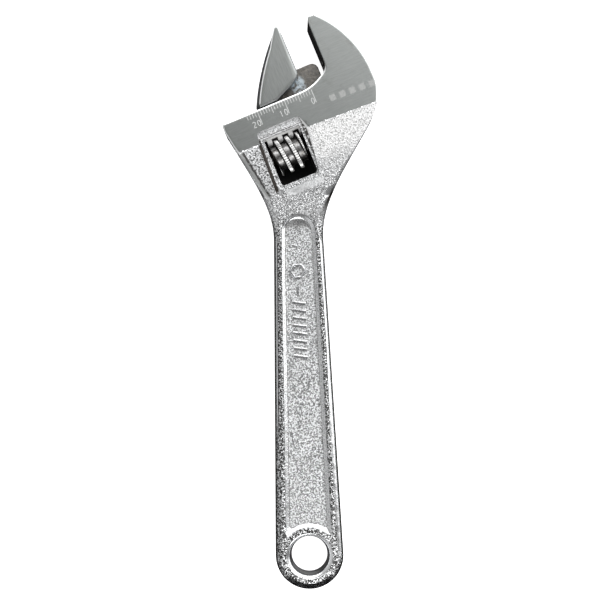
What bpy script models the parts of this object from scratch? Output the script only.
"""Adjustable wrench of the 150 mm size: a forged body with its handle and fixed jaw, a sliding jaw,
the worm that moves it, and the worm's pin and spring.

Run with: blender --background --python part.py

Frame: metres, +Z up. The wrench lies on its back. The origin is on the ground back face of the head, on
the centreline of the handle. +Y runs along the handle to the head.
Head frame: its origin is where the centreline crosses the channel of the sliding jaw. "Along" runs down
the channel towards the fixed jaw, and "up" runs towards the jaw tips. Pieces of the head are built in that
frame, under one empty, with z measured from the middle of the thickness.
"""

import math

import bmesh
import bpy
import numpy as np
from mathutils import Matrix

MM = 0.001

# Driving dimensions, in millimetres
HEAD_ANGLE = math.radians(20.5)  # from +X to the channel
CHANNEL = -3.0  # y where the channel crosses the centreline
HEAD_THICK = 10.5
FORGED_HALF = 5.0  # half thickness of the forged head below the ground faces
HANDLE_HALF = (3.4, 3.0)  # half thickness at the neck and at the end
NECK_TOP = -15.0  # y where the head starts to thin towards the handle
HANDLE_TOP, HANDLE_END = -34.5, -119.5  # y where the straight handle starts, and of the end arc's centre
HANDLE_WIDTH = (6.65, 9.13)  # half width there
EDGE = (0.4, 1.0)  # chamfer on the head and on the handle
EDGE_CHANGE = (8, 28)  # distances below the origin between which the chamfer grows

FIXED_FACE = 13.14  # along-position of the fixed jaw's face
JAW_TIP = (15.6, 23.95)  # where the fixed jaw's back meets its rounded tip
OPENING = 7.65  # gap between the jaws as built
TOP_EDGE = 6.1  # up-position of the head's top edge
TOP_CORNER = (-17.0, 1.4)  # along-position of the centre and radius of its left corner
GROUND_END = -3.2  # up-position where the ground faces stop
OUTER_ARC = (-4.89, -0.72, 27.81)  # centre and radius of the fixed jaw's back
HIP_ARC = (8.80, 3.51, 13.60)  # centre and radius of the bulge under it

BAR_RADIUS = 3.6
BORE_RADIUS = 3.9
BORE_END = 20.6
BAR = (-16.2, 12.0)  # ends of the guide bar
WEB_THICK = 4.0
SLOT_THICK = 4.6
SLOT_END = 19.5
HEEL = (11.4, 12.7, 1.8)  # right side, top and corner radius of the web's heel
JAW_GAP = 0.35  # between the jaw and the head's top edge

PITCH = 3.0
WORM_UP = -7.2
WORM_RADIUS = 4.85
WORM_ROOT = 3.35
WORM_ENDS = (-9.35, 0.27)
END_MARGIN = 0.6  # least width left of a rack tooth at the bar's ends
WORM_BORE = 1.55
CREST = 0.9  # width of the thread's crest
FLANK = math.radians(15)
THREAD_START = -0.95  # along-position of one crest on the side of the rack
FLANK_GAP = 0.15
RACK_TIP = 3.6  # distance from the worm's axis
RACK_ROOT = 5.1

WINDOW = (-9.69, 0.61, -15.1, -1.7)  # left, right, bottom, top
POCKET = (-10.6, 1.1, -15.9, -0.1)  # its floor
POCKET_DEPTH = 0.9
POCKET_DRAFT = 0.45

PIN_RADIUS = 1.2
PIN = (-16.0, 4.4)
PIN_HEAD = (1.6, -11.6)  # radius, and where the head ends
SPRING_SEAT = (2.35, -6.3)  # radius and bottom of the counterbore in the worm
SPRING_RADIUS = 1.8
SPRING_WIRE = 0.2
SPRING_TURNS = 4

HOLE = (0.0, -119.3, 5.2)  # centre and radius of the hanging hole
PANEL_TOP, PANEL_END = -28.8, 8.7  # top y, and distance of its lower end from the hole's centre
PANEL_FLOOR = (3.47, 5.2)  # half width of the floor at HANDLE_TOP and at its lower corners
PANEL_SLOPE = 1.0
PANEL_DEPTH = 1.2


def bezier(p0, p1, p2, p3, count):
    """Points of a cubic curve, without its last one."""
    t = np.linspace(0, 1, count, endpoint=False)[:, None]
    p0, p1, p2, p3 = map(np.array, (p0, p1, p2, p3))
    return (1 - t) ** 3 * p0 + 3 * t * (1 - t) ** 2 * p1 + 3 * t * t * (1 - t) * p2 + t**3 * p3


def arc(centre, radius, start, end, count):
    """Points of an arc, angles in degrees, both ends included."""
    turn = np.radians(np.linspace(start, end, count))
    return np.stack([centre[0] + radius * np.cos(turn), centre[1] + radius * np.sin(turn)], axis=1)


def to_world(points):
    """Head frame to the wrench's frame, in the plane."""
    cos, sin = math.cos(HEAD_ANGLE), math.sin(HEAD_ANGLE)
    points = np.asarray(points, float)
    return points @ np.array([[cos, sin], [-sin, cos]]) + (0, CHANNEL)


def material(name, colour, roughness, metallic=1.0):
    made = bpy.data.materials.new(name)
    made.use_nodes = True
    shader = made.node_tree.nodes["Principled BSDF"]
    shader.inputs["Base Color"].default_value = (*colour, 1)
    shader.inputs["Roughness"].default_value = roughness
    shader.inputs["Metallic"].default_value = metallic
    made.diffuse_color = (*colour, 1)
    return made


def mesh_object(name, bm, finish=None, parent=None, location=(0, 0, 0)):
    """An object from a bmesh in millimetres; without a finish it is a hidden cutter."""
    bmesh.ops.scale(bm, vec=(MM, MM, MM), verts=bm.verts)
    bmesh.ops.recalc_face_normals(bm, faces=bm.faces)
    mesh = bpy.data.meshes.new(name)
    bm.to_mesh(mesh)
    bm.free()
    made = bpy.data.objects.new(name, mesh)
    bpy.context.scene.collection.objects.link(made)
    made.parent = parent
    made.location = [MM * value for value in location]
    if finish is None:
        made.hide_render = True
        made.display_type = "WIRE"
    else:
        mesh.materials.append(finish)
        mesh.shade_smooth()
        mesh.set_sharp_from_angle(angle=math.radians(35))
    return made


def loft(rings):
    """A closed solid through rings of points, each ring a list of (x, y, z)."""
    bm = bmesh.new()
    loops = [[bm.verts.new(point) for point in ring] for ring in rings]
    for low, high in zip(loops, loops[1:]):
        for i in range(len(low)):
            j = (i + 1) % len(low)
            bm.faces.new((low[i], low[j], high[j], high[i]))
    bm.faces.new(loops[0][::-1])
    bm.faces.new(loops[-1])
    return bm


def inset(outline, distance):
    """A counterclockwise outline moved inwards along its own normals."""
    outline = np.asarray(outline, float)
    before, after = outline - np.roll(outline, 1, 0), np.roll(outline, -1, 0) - outline
    before /= np.linalg.norm(before, axis=1)[:, None]
    after /= np.linalg.norm(after, axis=1)[:, None]
    inward = np.stack([-(before + after)[:, 1], (before + after)[:, 0]], axis=1)
    inward /= (1 + (before * after).sum(1))[:, None]
    return outline + inward * np.asarray(distance).reshape(-1, 1)


def at_height(outline, z):
    return [(x, y, z) for x, y in outline]


def prism(outline, low, high):
    return loft([at_height(outline, low), at_height(outline, high)])


def turned(profile, sides=32):
    """A solid turned about the along-axis from (along, radius) pairs, with flat ends."""
    turn = np.linspace(0, 2 * math.pi, sides, endpoint=False)
    return loft([[(x, r * math.cos(t), r * math.sin(t)) for t in turn] for x, r in profile])


def rectangle(left, right, bottom, top):
    return [(left, bottom), (right, bottom), (right, top), (left, top)]


def boolean(target, other, operation="DIFFERENCE"):
    made = target.modifiers.new(other.name, "BOOLEAN")
    made.operation = operation
    made.object = other
    made.solver = "EXACT"


def handle_half_width(y):
    share = (HANDLE_TOP - y) / (HANDLE_TOP - HANDLE_END)
    return HANDLE_WIDTH[0] + share * (HANDLE_WIDTH[1] - HANDLE_WIDTH[0])


def half_thickness(y):
    """Head, then an S-curve down the neck, then the slowly thinning handle."""
    if y >= NECK_TOP:
        return HEAD_THICK / 2
    share = min(1, (NECK_TOP - y) / (NECK_TOP - HANDLE_TOP))
    blend = share * share * (3 - 2 * share)
    down = max(0, HANDLE_TOP - y) / (HANDLE_TOP - HANDLE_END)
    handle = HANDLE_HALF[0] + down * (HANDLE_HALF[1] - HANDLE_HALF[0])
    return HEAD_THICK / 2 + blend * (handle - HEAD_THICK / 2)


def side_curves():
    """The right and left sides from the hip and the head's corner down to the straight handle."""
    slope = (HANDLE_WIDTH[1] - HANDLE_WIDTH[0]) / (HANDLE_TOP - HANDLE_END)
    hip = arc(HIP_ARC[:2], HIP_ARC[2], -30.5, -30.5, 1)[0]
    tail = HANDLE_WIDTH[0]
    right = bezier(
        hip, hip - 12 * np.array([0.5075, 0.8616]), (tail - 10 * slope, HANDLE_TOP + 10),
        (tail, HANDLE_TOP), 40,
    )
    left = bezier(
        (-18.6, -5.9), (-11.6, -18.0), (-tail + 8 * slope, HANDLE_TOP + 8), (-tail, HANDLE_TOP), 40
    )
    return right, left


def body_outline():
    """Head outline counterclockwise from the right end of the first station to its left end, then the
    stations down the handle and the arc at its end."""
    right, left = side_curves()
    split = NECK_TOP - 1.0
    stations = [*np.linspace(split, HANDLE_TOP, 9), *np.linspace(HANDLE_TOP, HANDLE_END, 10)[1:]]

    def side(curve, y, sign):
        if y <= HANDLE_TOP:
            return sign * handle_half_width(y)
        return np.interp(-y, -curve[:, 1], curve[:, 0])

    spans = [(side(left, y, -1), side(right, y, 1), y) for y in stations]
    tip = to_world([JAW_TIP])[0]
    start = math.degrees(math.atan2(tip[1] - OUTER_ARC[1], tip[0] - OUTER_ARC[0]))
    up_right = right[right[:, 1] > split + 0.5][::-4]
    head = [
        up_right[up_right[:, 1] < HIP_ARC[1] - 7.5],
        arc(HIP_ARC[:2], HIP_ARC[2], -30.5, 15.5, 12),
        arc(OUTER_ARC[:2], OUTER_ARC[2], 19, start, 14),
        to_world(bezier((15.2, 24.0), (14.1, 24.1), (FIXED_FACE, 23.6), (FIXED_FACE, 22.3), 4)),
        to_world([(FIXED_FACE, 22.3)]),
        to_world(bezier((FIXED_FACE, 11.8), (FIXED_FACE, 10.2), (12.9, 9.3), (11.3, 8.35), 6)),
        to_world(bezier((11.3, 8.35), (9.3, 7.2), (7.5, TOP_EDGE), (3.5, TOP_EDGE), 7)),
        to_world([(3.5, TOP_EDGE)]),
        to_world(arc((TOP_CORNER[0], TOP_EDGE - TOP_CORNER[1]), TOP_CORNER[1], 90, 175, 5)),
        left[left[:, 1] > split + 0.5][::4],
    ]
    return np.concatenate(head), spans, arc((0, HANDLE_END), HANDLE_WIDTH[1], 0, -180, 17)[1:-1]


def make_body(finish):
    """Outline raised to the local thickness, with a chamfer along every edge. The head and the round end
    are flat, and the handle between them is a row of strips."""
    head, spans, end = body_outline()
    left = np.array([(span[0], span[2]) for span in spans])
    right = np.array([(span[1], span[2]) for span in spans])
    outline = np.concatenate([right[::-1], head, left, end[::-1]])
    edge = np.interp(-outline[:, 1], EDGE_CHANGE, EDGE)
    inner = inset(outline, edge)
    half = np.array([half_thickness(y) for y in outline[:, 1]])
    inner_half = half.copy()
    levels = [(inner, -inner_half), (outline, edge - half), (outline, half - edge), (inner, inner_half)]
    bm = bmesh.new()
    loops = [
        [bm.verts.new((x, y, z)) for (x, y), z in zip(points, heights)] for points, heights in levels
    ]
    for low, high in zip(loops, loops[1:]):
        for i in range(len(low)):
            j = (i + 1) % len(low)
            bm.faces.new((low[i], low[j], high[j], high[i]))
    count, past = len(spans), len(spans) + len(head)
    for loop in (loops[0], loops[-1]):
        rights, lefts = loop[:count][::-1], loop[past : past + count]
        bm.faces.new([rights[0], *loop[count:past], lefts[0]])
        bm.faces.new([lefts[-1], *loop[past + count :], rights[-1]])
        for i in range(count - 1):
            bm.faces.new((rights[i], lefts[i], lefts[i + 1]))
            bm.faces.new((rights[i], lefts[i + 1], rights[i + 1]))
    return mesh_object("wrench_body", bm, finish, location=(0, 0, HEAD_THICK / 2))


def panel_outline(grow):
    """The recess in the handle: round top, tapering sides, and a lower end that follows the hole."""
    top, low = PANEL_FLOOR[0] + grow, PANEL_FLOOR[1] + grow
    centre = PANEL_TOP - PANEL_FLOOR[0]
    reach = PANEL_END - grow
    foot = math.degrees(math.acos(low / reach)) if reach > low else 0
    return np.concatenate(
        [arc((0, centre), top, 0, 180, 15), arc(HOLE[:2], reach, 180 - foot, foot, 11)]
    )


def cut_handle(body):
    hole = arc(HOLE[:2], HOLE[2], 0, 360, 41)[:-1]
    boolean(body, mesh_object("cut_hanging_hole", prism(hole, -2, HEAD_THICK + 2)))
    for name, side in (("front", 1), ("back", -1)):
        rings = []
        for depth, grow in ((-0.6, 0.5 + PANEL_SLOPE), (0, PANEL_SLOPE), (PANEL_DEPTH, 0)):
            outline = panel_outline(grow)
            half = [half_thickness(min(y, HANDLE_TOP)) for _, y in outline]
            rings.append([
                (x, y, HEAD_THICK / 2 + side * (h - depth)) for (x, y), h in zip(outline, half)
            ])
        boolean(body, mesh_object(f"cut_panel_{name}", loft(rings)))


def cut_head(body, head_frame):
    bore = turned([(-40, BORE_RADIUS), (BORE_END - 1.2, BORE_RADIUS), (BORE_END, BORE_RADIUS - 1.6)], 40)
    boolean(body, mesh_object("cut_bore", bore, parent=head_frame))
    corner = HEEL[2] + 0.3
    top = HEEL[1] + 0.4
    round_end = arc((SLOT_END - corner, top - corner), corner, 0, 90, 6)
    slot = [(-40, 0.0), (SLOT_END, 0.0), *round_end, (-40, top)]
    half = SLOT_THICK / 2
    boolean(body, mesh_object("cut_slot", prism(slot, -half, half), parent=head_frame))
    left, right, bottom, roof = WINDOW
    window = np.concatenate([
        arc((left + 0.8, bottom + 0.8), 0.8, 180, 270, 4),
        arc((right - 0.8, bottom + 0.8), 0.8, 270, 360, 4),
        [(right, roof), (left, roof)],
    ])
    boolean(body, mesh_object("cut_window", prism(window, -8, 8), parent=head_frame))
    shaft = turned(
        [(-30, PIN_HEAD[0] + 0.3), (PIN_HEAD[1] + 0.3, PIN_HEAD[0] + 0.3),
         (PIN_HEAD[1] + 0.31, PIN_RADIUS + 0.3), (PIN[1] + 0.3, PIN_RADIUS + 0.3)], 24,
    )
    boolean(body, mesh_object("cut_pin_hole", shaft, parent=head_frame, location=(0, WORM_UP, 0)))
    for name, side in (("front", 1), ("back", -1)):
        face = HEAD_THICK / 2
        floor = face - POCKET_DEPTH
        outer = rectangle(*(np.array(POCKET) + POCKET_DRAFT * np.array((-1, 1, -1, 1))))
        rings = [at_height(rectangle(*POCKET), side * floor), at_height(outer, side * (face + 0.02))]
        boolean(body, mesh_object(f"cut_pocket_{name}", loft(rings), parent=head_frame))
        forged = prism(rectangle(-60, 60, -60, GROUND_END), side * FORGED_HALF, side * (face + 2))
        boolean(body, mesh_object(f"cut_forged_{name}", forged, parent=head_frame))


def jaw_blade():
    """The thick part of the sliding jaw, above the head's top edge."""
    face = FIXED_FACE - OPENING
    low = TOP_EDGE + JAW_GAP
    front = np.concatenate([
        [(-2.4, low), (2.1, 8.45), (4.6, 9.9)],
        bezier((5.2, 10.6), (face + 0.1, 11.2), (face, 11.6), (face, 12.4), 3),
        [(face, 12.4), (face, 23.2)],
    ])
    back = np.concatenate([
        bezier((face - 0.02, 24.0), (face - 0.1, 24.9), (4.6, 25.0), (4.0, 24.3), 3),
        bezier((4.0, 24.3), (-0.8, 19.4), (-5.4, 13.0), (-8.1, 7.2), 9),
        [(-8.1, low)],
    ])
    outline = np.concatenate([front, back])
    draft = np.concatenate([np.zeros(len(front)), np.clip((24.5 - back[:, 1]) / 4, 0, 1)])
    rings = []
    for z, bevel, side in ((HEAD_THICK / 2, 0.35, 0.85), (HEAD_THICK / 2 - 0.35, 0, 0.9), (1.8, 0, 0)):
        ring = inset(outline, bevel + side * draft)
        ring[-1, 1] = low + bevel
        rings.append((z, ring))
    return loft(
        [at_height(ring, -z) for z, ring in rings] + [at_height(ring, z) for z, ring in rings[::-1]]
    )


def rack_cutter():
    """Grooves between the teeth of the rack, the first one open at the bar's end. They lean with the
    helix of the worm's thread."""
    bm = bmesh.new()
    mesh_radius = (RACK_TIP + WORM_RADIUS) / 2
    lean = PITCH / (2 * math.pi * mesh_radius)
    tooth_tip = PITCH - CREST - 2 * (WORM_RADIUS - RACK_TIP) * math.tan(FLANK) - 2 * FLANK_GAP
    slope = math.tan(FLANK)
    bottom = RACK_TIP - 1.0
    first = THREAD_START + PITCH * math.floor((BAR[0] - THREAD_START + END_MARGIN) / PITCH)
    for centre in np.arange(first, BAR[1] - END_MARGIN, PITCH):
        rings = []
        for z in (-6.0, 6.0):
            at = centre + lean * z
            wide = (PITCH - tooth_tip) / 2 + slope * (RACK_TIP - bottom)
            narrow = (PITCH - tooth_tip) / 2 - slope * (RACK_ROOT - RACK_TIP)
            rings.append([
                (at - wide, WORM_UP + bottom, z), (at + wide, WORM_UP + bottom, z),
                (at + narrow, WORM_UP + RACK_ROOT, z), (at - narrow, WORM_UP + RACK_ROOT, z),
            ])
        loops = [[bm.verts.new(point) for point in ring] for ring in rings]
        for i in range(4):
            j = (i + 1) % 4
            bm.faces.new((loops[0][i], loops[0][j], loops[1][j], loops[1][i]))
        bm.faces.new(loops[0][::-1])
        bm.faces.new(loops[1])
    return bm


def make_jaw(finish, head_frame):
    """Guide bar with the rack, web with its heel, and blade. The origin is on the bar's axis."""
    bar = turned([(BAR[0], 3.1), (BAR[0] + 0.5, BAR_RADIUS), (BAR[1] - 0.5, BAR_RADIUS), (BAR[1], 3.1)], 40)
    jaw = mesh_object("sliding_jaw", bar, finish, parent=head_frame)
    right, top, corner = HEEL
    web = np.concatenate([
        [(-7.2, 1.0), (right, 1.0)],
        arc((right - corner, top - corner), corner, 0, 90, 6),
        [(4.0, top), (4.0, 16.0), (-1.0, 16.0), (-6.6, 8.0)],
    ])
    half = WEB_THICK / 2
    boolean(jaw, mesh_object("join_web", prism(web, -half, half), parent=head_frame), "UNION")
    boolean(jaw, mesh_object("join_blade", jaw_blade(), parent=head_frame), "UNION")
    boolean(jaw, mesh_object("cut_rack", rack_cutter(), parent=head_frame))
    return jaw


def worm_thread(steps=24):
    """Root and thread as one helical sheet, cut flat at both ends. Column i of the sheet meets column
    i + steps across the flat of the root."""
    depth = (WORM_RADIUS - WORM_ROOT) * math.tan(FLANK)
    half = CREST / 2
    profile = [
        (-half - depth, WORM_ROOT), (-half, WORM_RADIUS), (half, WORM_RADIUS), (half + depth, WORM_ROOT)
    ]
    first = math.floor((WORM_ENDS[0] - THREAD_START) / PITCH) - 1
    last = math.ceil((WORM_ENDS[1] - THREAD_START) / PITCH) + 1
    bm = bmesh.new()
    columns = []
    for i in range((last - first) * steps + 1):
        turn = 2 * math.pi * i / steps
        at = THREAD_START + PITCH * (first + i / steps)
        cos, sin = math.cos(turn), math.sin(turn)
        columns.append([bm.verts.new((at + x, r * cos, r * sin)) for x, r in profile])
    for i, (one, two) in enumerate(zip(columns, columns[1:])):
        for k in range(3):
            bm.faces.new((one[k], one[k + 1], two[k + 1], two[k]))
        if i + steps + 1 < len(columns):
            bm.faces.new((one[3], columns[i + steps][0], columns[i + steps + 1][0], two[3]))
    for end, side in ((WORM_ENDS[0], -1), (WORM_ENDS[1], 1)):
        geometry = [*bm.verts, *bm.edges, *bm.faces]
        cut = bmesh.ops.bisect_plane(
            bm, geom=geometry, plane_co=(end, 0, 0), plane_no=(side, 0, 0), clear_outer=True
        )
        edges = [item for item in cut["geom_cut"] if isinstance(item, bmesh.types.BMEdge)]
        bmesh.ops.contextual_create(bm, geom=edges)
    return bm


def make_worm(finish, head_frame):
    """The worm's mesh is about its own axis, which is the object's X axis."""
    worm = mesh_object("worm", worm_thread(), finish, parent=head_frame, location=(0, WORM_UP, 0))
    seat, depth = SPRING_SEAT
    bore = turned([(WORM_ENDS[0] - 2, seat), (depth, seat), (depth + 0.01, WORM_BORE), (3, WORM_BORE)], 24)
    boolean(worm, mesh_object("cut_worm_bore", bore, parent=head_frame, location=(0, WORM_UP, 0)))
    return worm


def make_pin(finish, head_frame):
    """A stepped pin with a screwdriver slot in its head."""
    radius, step = PIN_HEAD
    profile = [
        (PIN[0], radius - 0.3), (PIN[0] + 0.3, radius), (step, radius),
        (step + 0.01, PIN_RADIUS), (PIN[1] - 0.3, PIN_RADIUS), (PIN[1], PIN_RADIUS - 0.3),
    ]
    pin = mesh_object("worm_pin", turned(profile, 24), finish, head_frame, (0, WORM_UP, 0))
    slot = prism(rectangle(PIN[0] - 1, PIN[0] + 0.8, -0.25, 0.25), -3, 3)
    boolean(pin, mesh_object("cut_pin_slot", slot, parent=head_frame, location=(0, WORM_UP, 0)))
    return pin


def make_spring(finish, head_frame):
    """A round wire carried along a helix between the window's wall and the worm's counterbore."""
    low = WINDOW[0] + 0.3 + SPRING_WIRE
    high = SPRING_SEAT[1] - 0.3 - SPRING_WIRE
    steps, sides = 16, 6
    turn = np.linspace(0, 2 * math.pi * SPRING_TURNS, steps * SPRING_TURNS + 1)
    rings = []
    for t in turn:
        at = low + (high - low) * t / turn[-1]
        around = np.linspace(0, 2 * math.pi, sides, endpoint=False)
        radius = SPRING_RADIUS + SPRING_WIRE * np.cos(around)
        rings.append([
            (at + SPRING_WIRE * math.sin(s), r * math.cos(t), r * math.sin(t)) for s, r in zip(around, radius)
        ])
    return mesh_object("worm_spring", loft(rings), finish, head_frame, (0, WORM_UP, 0))


def main():
    for item in list(bpy.data.objects):
        bpy.data.objects.remove(item, do_unlink=True)
    head_frame = bpy.data.objects.new("head_frame", None)
    bpy.context.scene.collection.objects.link(head_frame)
    head_frame.matrix_basis = Matrix.Translation((0, MM * CHANNEL, MM * HEAD_THICK / 2)) @ Matrix.Rotation(
        HEAD_ANGLE, 4, "Z"
    )
    body = make_body(material("forged_chrome", (0.60, 0.61, 0.61), 0.28))
    cut_head(body, head_frame)
    cut_handle(body)
    make_jaw(material("ground_steel", (0.42, 0.44, 0.42), 0.4), head_frame)
    make_worm(material("worm_steel", (0.55, 0.55, 0.55), 0.25), head_frame)
    make_pin(material("pin_steel", (0.45, 0.45, 0.45), 0.35), head_frame)
    make_spring(material("spring_steel", (0.30, 0.30, 0.31), 0.4), head_frame)


main()
